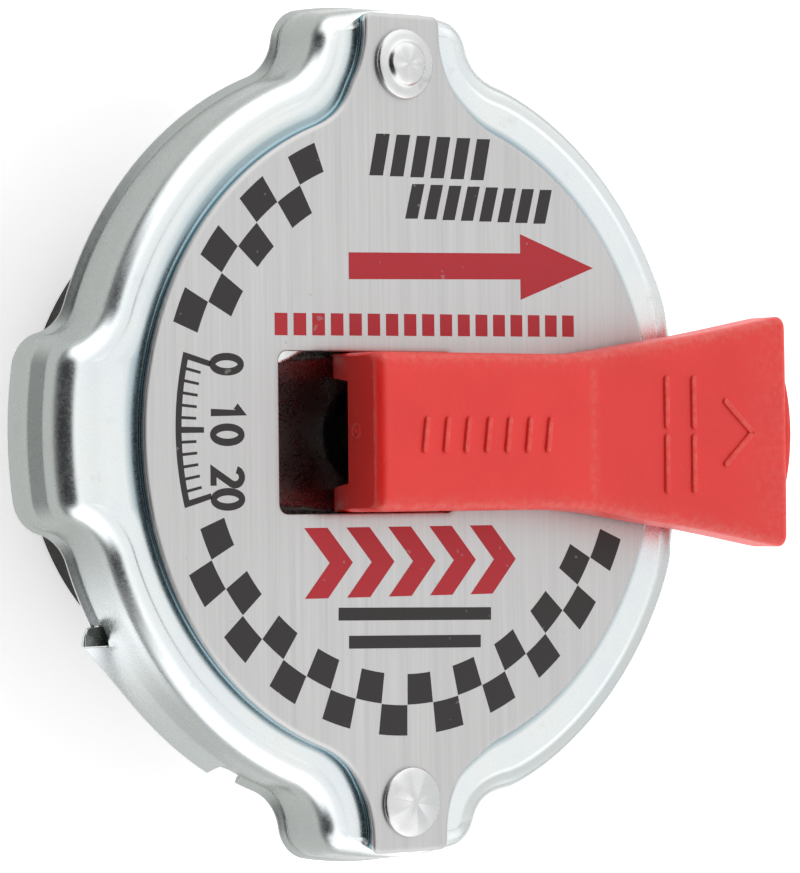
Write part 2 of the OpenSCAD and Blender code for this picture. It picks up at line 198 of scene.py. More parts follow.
def noise(nt, vec, scale, detail=3.0, rough=0.55):
    return node(nt, "ShaderNodeTexNoise", {"Vector": vec, "Scale": scale, "Detail": detail, "Roughness": rough}).outputs["Fac"]


def remap(nt, value, a, b, c, d):
    return node(nt, "ShaderNodeMapRange", {"Value": value, "From Min": a, "From Max": b, "To Min": c, "To Max": d}).outputs["Result"]


def mixrgb(nt, fac, a, b, blend="MIX"):
    n = nt.nodes.new("ShaderNodeMix")
    n.data_type = "RGBA"
    n.blend_type = blend
    for sock, v in ((n.inputs[0], fac), (n.inputs[6], a), (n.inputs[7], b)):
        if isinstance(v, bpy.types.NodeSocket):
            nt.links.new(v, sock)
        else:
            sock.default_value = v if not isinstance(v, tuple) else (*v, 1.0)
    return n.outputs[2]


def math_(nt, op, a, b=None, clamp=False):
    n = nt.nodes.new("ShaderNodeMath")
    n.operation = op
    n.use_clamp = clamp
    for sock, v in ((n.inputs[0], a), (n.inputs[1], b)):
        if v is None:
            continue
        if isinstance(v, bpy.types.NodeSocket):
            nt.links.new(v, sock)
        else:
            sock.default_value = v
    return n.outputs[0]


def bump(nt, bsdf, height, distance, strength=1.0):
    b = node(nt, "ShaderNodeBump", {"Height": height, "Distance": distance, "Strength": strength})
    nt.links.new(b.outputs["Normal"], bsdf.inputs["Normal"])
    return b


def metal(name, cool, warm, rough, spread, speck=2600.0, bump_mm=0.004, tint_scale=90.0, painted_reflection_tint=None, satin=None, dirt=0.0):
    """Plated sheet or turned metal: a slow drift of tint, fine specks in gloss and relief, faint stains. Given the two
    extra colours, a vertex attribute paints a blue reflection where it is positive. Where it is negative, it gives a
    satin colour that is partly a duller finish and partly painted shade.
    """
    m, nt, b = material(name)
    vec = coords(nt)
    drift = noise(nt, vec, tint_scale, 4.0, 0.6)
    col = mixrgb(nt, remap(nt, drift, 0.35, 0.65, 0.0, 1.0), cool, warm)
    stain = noise(nt, vec, 420.0, 5.0, 0.65)
    if dirt:
        dark = remap(nt, stain, 0.60, 0.78, 0.0, dirt)
        col = mixrgb(nt, dark, col, tuple(0.45 * c for c in warm))
    if painted_reflection_tint:
        # positive values paint a blue reflection; negative values darken towards the satin colour, painted shade
        # besides a slightly rougher finish
        at = node(nt, "ShaderNodeAttribute", attribute_name="finish_and_painted_light").outputs["Fac"]
        col = mixrgb(nt, math_(nt, "MAXIMUM", at, 0.0, True), col, painted_reflection_tint)
        dull_and_shade = math_(nt, "MULTIPLY", math_(nt, "MINIMUM", at, 0.0), -1.0, True)
        col = mixrgb(nt, dull_and_shade, col, satin)
    nt.links.new(col, b.inputs["Base Color"])
    b.inputs["Metallic"].default_value = 1.0
    fine = noise(nt, vec, speck, 2.0, 0.7)
    r = remap(nt, fine, 0.3, 0.7, rough - spread, rough + spread)
    r = math_(nt, "ADD", r, remap(nt, stain, 0.3, 0.8, -0.03, 0.06))
    if painted_reflection_tint:
        r = math_(nt, "ADD", r, math_(nt, "MULTIPLY", dull_and_shade, 0.05))
    nt.links.new(r, b.inputs["Roughness"])
    bump(nt, b, fine, bump_mm * MM, 0.6)
    return m


zinc = metal("zinc_sheet", (0.72, 0.765, 0.785), (0.76, 0.79, 0.775), 0.25, 0.05, speck=3400.0, bump_mm=0.0011, painted_reflection_tint=(0.17, 0.285, 0.335), satin=(0.285, 0.305, 0.292), dirt=0.22)
zinc_inner = metal("zinc_inner", (0.62, 0.66, 0.67), (0.66, 0.67, 0.65), 0.33, 0.06, dirt=0.35)
yellow_zinc = metal("yellow_zinc", (0.66, 0.63, 0.50), (0.74, 0.66, 0.44), 0.30, 0.06, tint_scale=60.0, dirt=0.3)
rivet_alu = metal("rivet_alu", (0.57, 0.585, 0.59), (0.63, 0.63, 0.625), 0.25, 0.06, speck=1500.0, bump_mm=0.010, tint_scale=300.0, dirt=0.5)
turned = metal("turned_steel", (0.52, 0.53, 0.54), (0.58, 0.57, 0.56), 0.30, 0.05, dirt=0.3)
wire = metal("spring_wire", (0.42, 0.43, 0.44), (0.50, 0.49, 0.47), 0.32, 0.06, speck=1800.0, dirt=0.4)
strip = metal("spring_strip", (0.50, 0.52, 0.54), (0.56, 0.56, 0.55), 0.28, 0.05, dirt=0.3)
# near-black metal, put on the centre eyelet as painted shade in the well under the lever
painted_shade_black = metal("painted_shade_black", (0.030, 0.029, 0.028), (0.045, 0.043, 0.040), 0.42, 0.06, dirt=0.4)
brass = metal("brass", (0.80, 0.60, 0.28), (0.74, 0.54, 0.25), 0.28, 0.06, dirt=0.45)


def brushed_plate():
    m, nt, b = material("brushed_plate")
    fine = noise(nt, coords(nt, (9000.0, 90.0, 90.0)), 1.0, 3.0, 0.6)
    wide = noise(nt, coords(nt, (1700.0, 14.0, 14.0)), 1.0, 3.0, 0.6)
    slow = noise(nt, coords(nt), 45.0, 2.0, 0.5)
    mix = math_(nt, "ADD", math_(nt, "MULTIPLY", fine, 0.5), math_(nt, "MULTIPLY", wide, 0.5))
    col = mixrgb(nt, remap(nt, mix, 0.36, 0.64, 0.0, 1.0), (0.475, 0.475, 0.475), (0.572, 0.569, 0.567))
    col = mixrgb(nt, remap(nt, slow, 0.35, 0.7, 0.0, 0.22), col, (0.465, 0.46, 0.455))
    spots = noise(nt, coords(nt), 1500.0, 1.0, 0.5)
    col = mixrgb(nt, remap(nt, spots, 0.79, 0.83, 0.0, 0.35), col, (0.25, 0.25, 0.25))
    nt.links.new(col, b.inputs["Base Color"])
    b.inputs["Metallic"].default_value = 1.0
    nt.links.new(remap(nt, mix, 0.35, 0.65, 0.34, 0.50), b.inputs["Roughness"])
    bump(nt, b, mix, 0.006 * MM, 0.55)
    return m


plate_mat = brushed_plate()


def ink(name, colour, lighter):
    m, nt, b = material(name)
    vec = coords(nt)
    grain = noise(nt, vec, 2400.0, 3.0, 0.6)
    col = mixrgb(nt, remap(nt, grain, 0.35, 0.75, 0.0, 0.5), colour, lighter)
    pin = noise(nt, vec, 1300.0, 1.0, 0.4)
    col = mixrgb(nt, remap(nt, pin, 0.76, 0.80, 0.0, 0.35), col, (0.35, 0.34, 0.33))
    nt.links.new(col, b.inputs["Base Color"])
    nt.links.new(remap(nt, grain, 0.3, 0.7, 0.42, 0.6), b.inputs["Roughness"])
    b.inputs["Specular IOR Level"].default_value = 0.35
    bump(nt, b, grain, 0.004 * MM, 0.5)
    return m


black_ink = ink("black_ink", (0.020, 0.017, 0.017), (0.034, 0.029, 0.028))
red_ink = ink("red_ink", (0.43, 0.012, 0.022), (0.50, 0.022, 0.032))


def red_plastic():
    m, nt, b = material("red_plastic")
    vec = coords(nt)
    slow = noise(nt, vec, 130.0, 3.0, 0.5)
    grain = noise(nt, vec, 3600.0, 2.0, 0.6)
    cells = node(nt, "ShaderNodeTexVoronoi", {"Vector": vec, "Scale": 2600.0}).outputs["Distance"]
    col = mixrgb(nt, remap(nt, slow, 0.3, 0.7, 0.0, 1.0), (0.75, 0.011, 0.006), (0.82, 0.016, 0.009))
    col = mixrgb(nt, remap(nt, grain, 0.62, 0.80, 0.0, 0.30), col, (0.74, 0.12, 0.095))
    # a vertex attribute, broken up by noise, lightens the red: partly rubbed wear on edges, partly painted highlights
    # on rounded edges, ribs, the bend's crease and the handle's end
    wear_and_highlight = node(nt, "ShaderNodeAttribute", attribute_name="wear_and_highlight").outputs["Fac"]
    rub = noise(nt, vec, 1500.0, 4.0, 0.7)
    edge = math_(nt, "MULTIPLY", wear_and_highlight, remap(nt, rub, 0.42, 0.68, 0.15, 1.0), True)
    col = mixrgb(nt, math_(nt, "MULTIPLY", edge, 0.50), col, (0.74, 0.17, 0.13))
    nt.links.new(col, b.inputs["Base Color"])
    nt.links.new(remap(nt, grain, 0.3, 0.7, 0.36, 0.52), b.inputs["Roughness"])
    b.inputs["Specular IOR Level"].default_value = 0.60
    h = math_(nt, "ADD", math_(nt, "MULTIPLY", grain, 0.7), math_(nt, "MULTIPLY", cells, 0.45))
    bump(nt, b, h, 0.030 * MM, 0.7)
    return m


red = red_plastic()


def rubber():
    m, nt, b = material("black_rubber")
    vec = coords(nt)
    dust = noise(nt, vec, 700.0, 5.0, 0.65)
    grain = noise(nt, vec, 3200.0, 2.0, 0.6)
    col = mixrgb(nt, remap(nt, dust, 0.45, 0.75, 0.0, 1.0), (0.022, 0.019, 0.018), (0.060, 0.052, 0.048))
    nt.links.new(col, b.inputs["Base Color"])
    nt.links.new(remap(nt, grain, 0.3, 0.7, 0.55, 0.75), b.inputs["Roughness"])
    b.inputs["Specular IOR Level"].default_value = 0.35
    bump(nt, b, grain, 0.012 * MM, 0.6)
    return m


black_rubber = rubber()

# ---------------------------------------------------------------- outlines
# Both outlines run counter-clockwise from +X with the same count, and each
# holds points and outward directions, so an inset is a plain subtraction.
TOP = 26.5
SKIRT, CORNER, HOLLOW = 32.3, 2.8, 4.5
PLATE_R, TONGUE, TIP, T_CORNER, T_HOLLOW = 28.2, 4.1, 36.15, 0.8, 9.0
COUNTS = (14, 20, 16, 40)


def arc_pts(cx, cy, r, a0, a1, n, sign=1.0):
    a = np.linspace(a0, a1, n, endpoint=False)
    d = np.column_stack([np.cos(a), np.sin(a)])
    return np.array([cx, cy]) + r * d, sign * d


def skirt_half(e, half):
    """From an ear's centre line on +X to 45 degrees."""
    yc = half - CORNER
    l1, l2, l3 = e - CORNER, SKIRT + HOLLOW, CORNER + HOLLOW
    xc = math.sqrt(l1 * l1 - yc * yc)
    b = math.atan2(yc, xc)
    g = b + math.acos((l1 * l1 + l2 * l2 - l3 * l3) / (2 * l1 * l2))
    xf, yf = l2 * math.cos(g), l2 * math.sin(g)
    h = math.atan2(yf - yc, xf - xc)
    parts = [
        arc_pts(0, 0, e, 0, b, COUNTS[0]),
        arc_pts(xc, yc, CORNER, b, h, COUNTS[1]),
        arc_pts(xf, yf, HOLLOW, math.pi + h, math.pi + g, COUNTS[2], -1.0),
        arc_pts(0, 0, SKIRT, g, math.pi / 4, COUNTS[3]),
    ]
    end = np.array([[math.cos(math.pi / 4), math.sin(math.pi / 4)]])
    return (
        np.vstack([p for p, _ in parts] + [SKIRT * end]),
        np.vstack([n for _, n in parts] + [end]),
    )


def plate_half_plain(ref):
    """Round edge at the angles of the points in ref."""
    a = np.arctan2(ref[:, 1], ref[:, 0])
    d = np.column_stack([np.cos(a), np.sin(a)])
    return PLATE_R * d, d


def plate_half_tongue():
    """From a tongue's centre line on +X to 45 degrees."""
    cy = TONGUE + T_HOLLOW
    cx = math.sqrt((PLATE_R + T_HOLLOW) ** 2 - cy * cy)
    g = math.atan2(cy, cx)
    v = np.linspace(0, TONGUE - T_CORNER, COUNTS[0], endpoint=False)
    tip = np.column_stack([np.full(len(v), TIP), v]), np.tile([1.0, 0.0], (len(v), 1))
    k = COUNTS[1] // 2
    corner = arc_pts(TIP - T_CORNER, TONGUE - T_CORNER, T_CORNER, 0, math.pi / 2, k)
    u = np.linspace(TIP - T_CORNER, cx, COUNTS[1] - k, endpoint=False)
    side = np.column_stack([u, np.full(len(u), TONGUE)]), np.tile([0.0, 1.0], (len(u), 1))
    hollow = arc_pts(cx, cy, T_HOLLOW, 1.5 * math.pi, math.pi + g, COUNTS[2], -1.0)
    rim = arc_pts(0, 0, PLATE_R, g, math.pi / 4, COUNTS[3])
    end = np.array([[math.cos(math.pi / 4), math.sin(math.pi / 4)]])
    parts = [tip, corner, side, hollow, rim]
    return (
        np.vstack([p for p, _ in parts] + [PLATE_R * end]),
        np.vstack([n for _, n in parts] + [end]),
    )


def whole(hx, hy):
    """Eight half-ears to one closed outline. hx runs from +X to 45 degrees, hy the same on the Y ears."""
    out = []
    for k in (0, 1):
        p, n = hx[k], hy[k]
        q1 = np.vstack([p[:-1], p[-1:], n_swap(n)[::-1][1:-1]])
        q2 = np.vstack([np.column_stack([-n[:, 1], n[:, 0]])[:-1], np.column_stack([-p[:, 0], p[:, 1]])[::-1][:-1]])
        half = np.vstack([q1, q2])
        out.append(np.vstack([half, -half]))
    return out


def n_swap(a):
    return np.column_stack([a[:, 1], a[:, 0]])


EAR_X, EAR_Y = 36.1, 36.95
sx, sy = skirt_half(EAR_X, 7.9), skirt_half(EAR_Y, 8.8)
SK_P, SK_N = whole(sx, sy)
px = plate_half_plain(sx[0])
py = plate_half_tongue()
PL_P, PL_N = whole(px, py)
round_part = 1 - smoothstep((np.linalg.norm(PL_P, axis=1) - PLATE_R - 0.1) / 2.5)
PL_P = PL_P + round_part[:, None] * (np.array([0.44, -0.30]) + 0.15 * np.maximum(0, PL_N[:, :1]) * PL_N)     # the plate sits a little off centre
N = len(SK_P)
SK_A = np.degrees(np.arctan2(SK_P[:, 1], SK_P[:, 0]))
PL_A = np.arctan2(PL_P[:, 1], PL_P[:, 0])


def ring3(xy, z):
    return np.column_stack([xy, np.broadcast_to(np.asarray(z, float), (len(xy),))])


def box_ring(x0, x1, hw, r, angles):
    """Rounded rectangle round the origin, one point at each angle."""
    d = np.column_stack([np.cos(angles), np.sin(angles)])
    cx, hx = (x0 + x1) / 2, (x1 - x0) / 2
    lo, hi = np.zeros(len(d)), np.full(len(d), 60.0)
    for _ in range(40):
        mid = (lo + hi) / 2
        q = np.abs(d * mid[:, None] - [cx, 0]) - [hx - r, hw - r]
        sd = np.linalg.norm(np.maximum(q, 0), axis=1) + np.minimum(q.max(axis=1), 0) - r
        hi = np.where(sd > 0, mid, hi)
        lo = np.where(sd > 0, lo, mid)
    return d * lo[:, None]


# ---------------------------------------------------------------- cover stamping
def shrink(p, d):
    """Moves an outline towards the middle by d."""
    return p * (1 - d / np.linalg.norm(p, axis=1))[:, None]


def soften(values, width):
    """Smooths values round a closed outline."""
    k = np.exp(-0.5 * (np.arange(-3 * width, 3 * width + 1) / width) ** 2)
    k /= k.sum()
    h = 3 * width
    ext = np.concatenate([values[-h:], values, values[:h]])
    return np.convolve(ext, k, mode="valid")


GAP0, GAP1 = -150.6, -146.75       # lanced gap in the skirt's edge
END0, END1 = -119.9, -114.9        # relief where the cam ends


def build_cover():
    ear = np.clip((np.linalg.norm(SK_P, axis=1) - SKIRT) / 3.8, 0, 1)
    xear = ear * (np.abs(SK_P[:, 0]) > np.abs(SK_P[:, 1]))
    year = ear * (np.abs(SK_P[:, 0]) <= np.abs(SK_P[:, 1]))
    right = soften(smoothstep((SK_N[:, 0] - 0.05) / 0.4), 3)
    far = soften(right * (1 - np.minimum(1.0, 3 * ear)), 5)
    # the wall leans in at its top on the ears; the round skirt lies a little off the
    # lever's axis, so it stands out further on the side of the lever's free end
    turn_a = np.radians(SK_A)
    off = far * (0.80 + 0.6 * np.cos(turn_a) - 0.5 * np.sin(turn_a))
    wall0 = -0.42 * xear - 0.25 * year
    P = SK_P + SK_N * (wall0 + off)[:, None]
    A = PL_P - 0.15 * PL_N + np.array([0.03, 0.09])
    gap = np.linalg.norm(P - A, axis=1)
    rad = 1.7 + 0.4 * xear - 0.75 * far
    dc = np.minimum(rad, 0.72 * gap)
    B = P - SK_N * dc[:, None]
    w = np.linalg.norm(B - A, axis=1)
    shut = soften(smoothstep((2.0 - w) / 1.5), 4)
    zp = TOP - 0.5
    zf = 25.46 + shut * (zp - 0.10 - 25.46)
    crest = 0.115 * (1 - soften(np.minimum(1.0, 1.6 * year), 4))
    zc = zf + crest * (1 - shut) - 0.03 * shut
    f = np.minimum(1.0, w / 1.3)
    toB = (B - A) / np.maximum(w, 1e-6)[:, None]
    rings, finish_and_painted_light = [], []

    # the attribute is positive where a blue reflection is painted on the wall of the plateau, and negative on the
    # skirt, whose satin colour is partly a duller finish and partly painted shade
    def add(xy, z, g=0.0):
        rings.append(ring3(xy, z))
        finish_and_painted_light.append(np.broadcast_to(np.asarray(g, float), (N,)).copy())

    ang = PL_A
    wx0, wx1, whw = -14.1, 5.6, 7.05
    unit = np.column_stack([np.cos(ang), np.sin(ang)])

    def ledge(xy, d):
        """The well is drawn in a little at its upper left corner."""
        q = xy.copy()
        q[:, 1] = np.minimum(q[:, 1], whw + d - 1.35 * smoothstep((-9.5 - q[:, 0]) / 4.2))
        return q

    # lever well, from the eyelet's hole outwards; its floor is darkened as painted shade, most at the hole
    add(unit * 4.05, 20.9, -1.0)
    for d, z in ((1.25, 20.9), (0.85, 20.95), (0.5, 21.1), (0.22, 21.38), (0.06, 21.75), (0.0, 22.2), (0.0, 23.8), (0.0, 25.55)):
        add(ledge(box_ring(wx0 + d, wx1 - d, whw - d, 1.3, ang), -d), z, -0.6 if d > 1 else -0.2)
    for d, z in ((0.06, 25.82), (0.2, 25.95), (0.45, 26.0)):
        add(ledge(box_ring(wx0 - d, wx1 + d, whw + d, 1.3 + d, ang), d), z)
    # plateau edge and its wall, which carries a painted blue reflection that grows down the wall
    add(shrink(PL_P - 0.85 * PL_N, 1.4), zp)
    for d, z, g in ((0.68, zp, 0.3), (0.44, zp - 0.01, 0.5), (0.30, zp - 0.05, 0.7), (0.20, zp - 0.12, 0.9)):
        add(A - (d - 0.15) * PL_N, z, g)
    for q, out in ((0.30, 0.0), (0.50, 0.01), (0.68, 0.03), (0.82, 0.07), (0.92, 0.13), (0.98, 0.21), (1.0, 0.32)):
        drop = zp - 0.08 - (zp - 0.08 - zf) * q
        g = 1.0 if q < 0.9 else 1.0 - 0.3 * (q - 0.9) / 0.1
        add(A + (PL_N * (1 - q) + toB * q) * (out * f)[:, None], drop, g * (1 - 0.5 * shut))
    # floor of the channel and the crest of the rim; the channel floor carries a painted blue reflection, strongest on
    # the upper left
    L = np.maximum(w - 0.32 * f, 0.05)
    add(B - toB * (L * 0.93)[:, None], zf, 0.75 * (1 - shut))
    painted_blue_reflection = np.exp(-((SK_A - 128) / 34.0) ** 2)
    add(B - toB * (L * 0.84)[:, None], zf, (0.35 + 0.40 * painted_blue_reflection) * (1 - shut))
    add(B - toB * (L * 0.77)[:, None], zf, 0.45 * painted_blue_reflection * (1 - shut))
    wide = 0.50 + 1.4 * soften(xear, 3)
    # on the side towards +X the crest and shoulder are darkened: a painted grey reflection of the floor
    dull_and_shade = -0.40 * right * (0.35 + 0.65 * smoothstep((0.2 - SK_N[:, 1]) / 0.6))
    for q, frac in ((1.9, 0.74), (1.45, 0.66), (1.2, 0.60), (1.0, 0.54), (0.8, 0.47), (0.6, 0.40), (0.4, 0.33), (0.2, 0.26), (0.0, 0.20)):
        db = np.minimum(0.42 + q * wide, L * frac)
        rise = smoothstep((0.42 + wide - db) / wide)
        add(B - toB * db[:, None], zf + (zc - zf) * rise, dull_and_shade * rise)
    add(B - toB * np.minimum(0.2, L * 0.1)[:, None], zc, dull_and_shade)
    add(B, zc, dull_and_shade)
    # shoulder, darkened towards the wall to the satin colour as painted shade, less so towards +X and near each lanced
    # gap
    satin = -0.92 + 0.75 * np.exp(-((np.where(SK_A > 0, SK_A - 180.0, SK_A) + 149) / 9.0) ** 2)
    for t in np.radians([7, 14, 22, 30, 38, 46, 54, 62, 71, 80, 90]):
        add(P - SK_N * (dc * (1 - math.sin(t)))[:, None], zc - rad * (1 - math.cos(t)), np.minimum(dull_and_shade, satin * (1 - 0.45 * right) * smoothstep((math.degrees(t) - 40 + 24 * right) / (20 - 6 * right))))
    # wall, then the flared lip and the scoop after each lanced gap; they keep the satin colour, partly a duller finish
    # and partly painted shade
    a180 = np.where(SK_A > 0, SK_A - 180.0, SK_A)
    relief = ((a180 > END0) & (a180 < END1)).astype(float)
    scoop = ((a180 >= GAP1) & (a180 <= END0)).astype(float)
    after = np.maximum(a180 - GAP1, 0.0)
    zt = zc - rad
    lean = -wall0 + 0.04 + 0.42 * xear
    base = P + SK_N * lean[:, None]
    soft_scoop = smoothstep((a180 - GAP1 + 3.2) / 3.6) * smoothstep((END0 + 3.6 - a180) / 4.6)
    lip_size = 0.52 - 0.40 * xear - 0.22 * year

    def flare(z):
        """How far the skirt stands out at height z: a small lip, or the wide draw of the scoop."""
        lip = -0.05 * math.exp(-((z - 20.36) / 0.09) ** 2) * (1 - xear) + lip_size * np.clip((20.36 - z) / 0.74, 0, 1) ** 1.15 if z < 20.6 else np.zeros(N)
        tab = (1.02 + 1.15 * np.exp(-after / 3.6)) * np.clip((22.9 - z) / 3.3, 0, 1) ** 1.9
        w_tab = scoop + (soft_scoop - scoop) * smoothstep((z - 20.6) / 0.5)
        lip = np.where(relief > 0, 0.0, lip)
        return w_tab * tab + (1 - w_tab) * lip

    for q in (0.12, 0.35, 0.6, 0.82, 1.0):
        z = zt + (21.9 - zt) * q
        add(P + SK_N * (lean * q + flare(float(z.mean())))[:, None], z, satin)

    def cut_line(r):
        """Angle at which the gap's straight cut crosses radius r."""
        return np.degrees(np.arcsin(17.75 / r)) - 180.0

    def low(z, back=0.0, dz=0.0, g=None):
        """A ring of the skirt's lower part: flare at height z, moved in by back."""
        o = flare(z)
        xy = base + SK_N * (o - back)[:, None]
        r = np.linalg.norm(xy, axis=1)
        turn = np.radians(scoop * np.exp(-after / 3.0) * (cut_line(np.maximum(r, 32.0)) - cut_line(32.3)))
        xy = np.column_stack([xy[:, 0] * np.cos(turn) - xy[:, 1] * np.sin(turn), xy[:, 0] * np.sin(turn) + xy[:, 1] * np.cos(turn)])
        curl = scoop * 0.25 * np.exp(-after / 1.1) * np.clip((o - 0.9) / 1.1, 0, 1) ** 1.5
        zz = z + dz + curl
        zz = np.where(relief > 0, np.maximum(zz, 20.45 + 0.1 * (z - 19.5)), zz)
        # the scoop gets a little less of the painted shade than the wall
        tn = satin * np.where(scoop > 0, 0.85, 1.0) if g is None else g
        add(xy, zz, tn)

    outer = (21.6, 21.3, 21.0, 20.8, 20.62, 20.5, 20.42, 20.36, 20.3, 20.2, 20.08, 19.95, 19.82, 19.72, 19.65)
    k_out = len(rings) + 3
    for z in outer:
        low(z)
    for z, back, dz in ((19.62, 0.03, -0.05), (19.62, 0.10, -0.10), (19.62, 0.22, -0.12), (19.62, 0.42, -0.12), (19.62, 0.56, -0.08), (19.65, 0.66, 0.0)):
        low(z, back, dz)
    # the inside of the lip is darkened as painted shade
    for z in (19.8, 20.0, 20.2, 20.36, 20.5, 20.8):
        low(z, 0.78, 0.0, -1.0)
    k_in = len(rings) - 1
    for z in (21.2, 21.6):
        low(z, 0.79, 0.0, -1.0)
    # inside, back to the well, darkened as painted shade
    for q in (1.0, 0.6, 0.12):
        add(P + SK_N * (lean * q - 0.8)[:, None], zt + (21.9 - zt) * q, -1.0)
    for t in np.radians([75, 50, 25, 0]):
        d = 0.8 + np.maximum(dc - 0.8, 0.05) * (1 - math.sin(t))
        add(P - SK_N * d[:, None], zc - 0.8 - (rad - 0.8) * (1 - math.cos(t)), -0.8)
    add(B - toB * (L * 0.6)[:, None], zf - 0.8, -0.8)
    add(A + toB * (0.05 * f)[:, None], zf - 0.8, -0.8)
    add(shrink(PL_P, 0.95), zp - 0.8 - 0.2 * (1 - shut), -0.8)
    add(shrink(PL_P, 1.3), zp - 0.82, -0.8)
    add(shrink(PL_P, 2.4), zp - 0.8, -0.8)
    for d, z in ((1.1, 25.2), (0.85, 25.0), (0.8, 24.5), (0.8, 21.0), (0.7, 20.4), (0.4, 20.14), (0.0, 20.1)):
        add(box_ring(wx0 - d, wx1 + d, whw + d, 1.6, ang), z, -0.8)
    add(unit * 4.05, 20.1, -0.8)

    # lanced gaps: a block of the skirt's edge is left out, and the sheet closed round it
    gone = (a180 > GAP0) & (a180 < GAP1 + 0.7)
    last = gone & (a180 >= GAP1)
    gone = gone & ~(last & np.roll(last, 1))     # keep the first column of the scoop as the gap's far side

    def cut(k, i):
        return k_out <= k < k_in and gone[i] and gone[(i + 1) % N]

    bld = Build()
    bases = bld.rings(rings, wrap=True, a=finish_and_painted_light, skip=cut)
    runs = []
    for i in range(N):
        if gone[i]:
            if runs and runs[-1][-1] == i - 1:
                runs[-1].append(i)
            else:
                runs.append([i])
    for run in runs:
        for i, j in zip(run[:-1], run[1:]):
            bld.face((bases[k_out] + i, bases[k_out] + j, bases[k_in] + j, bases[k_in] + i))
        for i in (run[0], run[-1]):
            bld.face([bases[k] + i for k in range(k_out, k_in + 1)])

    # inward cams under the skirt, darkened as painted shade
    for turn in (0.0, 180.0):
        a = np.radians(np.linspace(-147, -121.2, 40) + turn)
        sections = []
        for k, ai in enumerate(a):
            t = k / (len(a) - 1)
            z0 = 19.5 + 0.25 * (1 - smoothstep(t / 0.35))
            end = math.sqrt(max(0.0, 1 - max(0.0, (abs(t - 0.5) - 0.44) / 0.06) ** 2))
            r0 = 32.0 - (32.0 - 28.4) * (0.35 + 0.65 * end)
            prof = [(32.0, z0), (r0 + 0.2, z0), (r0 + 0.05, z0 + 0.08), (r0, z0 + 0.3), (r0, z0 + 0.5), (r0 + 0.05, z0 + 0.72), (r0 + 0.2, z0 + 0.8), (32.0, z0 + 0.8)]
            sections.append(np.array([(r * math.cos(ai), r * math.sin(ai), z) for r, z in prof]))
        b = bld.rings(sections, a=[np.full(8, -0.8)] * len(sections))
        bld.cap(b[0], 8)
        bld.cap(b[-1], 8)
        # pocket of the scoop, with the curled edge of the sheet round it; the pocket's floor is darkened as painted
        # shade, and the curled edge a little
        t = np.linspace(0, 1, 21)
        side = -1.0 if turn == 0.0 else 1.0
        y1 = 16.15 + 1.6 * t
        r1 = 32.75 + 1.65 * np.sqrt(t)
        out = side * np.column_stack([np.sqrt(r1 ** 2 - y1 ** 2), y1])
        inn = side * np.column_stack([np.sqrt(31.8 ** 2 - y1 ** 2), y1])[::-1]
        bld.prism(np.vstack([out, inn]), 19.56, 19.72, a=-1.0, move=(0.0, 0.0))
        k = np.linspace(0, 2 * math.pi, 10, endpoint=False)
        tube = []
        for (x, y), zi in zip(out, 19.74 + 0.12 * t):
            q = 1 + (0.2 * np.cos(k) - 0.08) / math.hypot(x, y)
            tube.append(np.column_stack([x * q, y * q, zi + 0.2 * np.sin(k)]))
        b = bld.rings(tube, a=[np.full(10, -0.25)] * len(tube))
        bld.cap(b[0], 10)
        bld.cap(b[-1], 10)
    return bld.object("cover_stamping", [zinc], sharp=50.0, attr="finish_and_painted_light")


cover = build_cover()
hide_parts("cover_shell")
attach(cover, "cover")


# ---------------------------------------------------------------- face plate and its print
def build_plate():
    bld = Build()
    x0, x1, hw, r = -13.8, 5.2, 6.9, 0.9
    rings = [ring3(PL_P - 0.05 * PL_N, TOP - 0.5), ring3(PL_P, TOP - 0.46), ring3(PL_P, TOP - 0.22), ring3(PL_P - 0.02 * PL_N, TOP - 0.14),
             ring3(PL_P - 0.10 * PL_N, TOP - 0.075), ring3(PL_P - 0.24 * PL_N, TOP - 0.022), ring3(PL_P - 0.38 * PL_N, TOP), ring3(PL_P - 0.50 * PL_N, TOP), ring3(shrink(PL_P - 0.55 * PL_N, 0.7), TOP)]
    for d, z in ((0.6, TOP), (0.16, TOP), (0.07, TOP - 0.02), (0.02, TOP - 0.07), (0.0, TOP - 0.14), (0.0, TOP - 0.5)):
        rings.append(ring3(box_ring(x0 - d, x1 + d, hw + d, r + d, PL_A), z))
    bld.rings(rings, wrap=True)
    return bld.object("face_plate", [plate_mat], sharp=50.0)


plate = build_plate()
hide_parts("name_plate")
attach(plate, "cover")

INK0, INK1 = TOP - 0.01, TOP + 0.014


def sector(r0, r1, a0, a1, n=5):
    a = np.radians(np.linspace(a0, a1, n))
    return np.vstack([np.column_stack([r1 * np.cos(a), r1 * np.sin(a)]), np.column_stack([r0 * np.cos(a[::-1]), r0 * np.sin(a[::-1])])])


def rect(x0, y0, x1, y1, slant=0.0, tilt=0.0):
    """A bar, with its top pushed over by slant and the whole turned by tilt degrees about its middle."""
    p = np.array([[x0, y0], [x1, y0], [x1 + slant, y1], [x0 + slant, y1]], float)
    c = p.mean(axis=0)
    t = math.radians(tilt)
    return (p - c) @ np.array([[math.cos(t), math.sin(t)], [-math.sin(t), math.cos(t)]]) + c


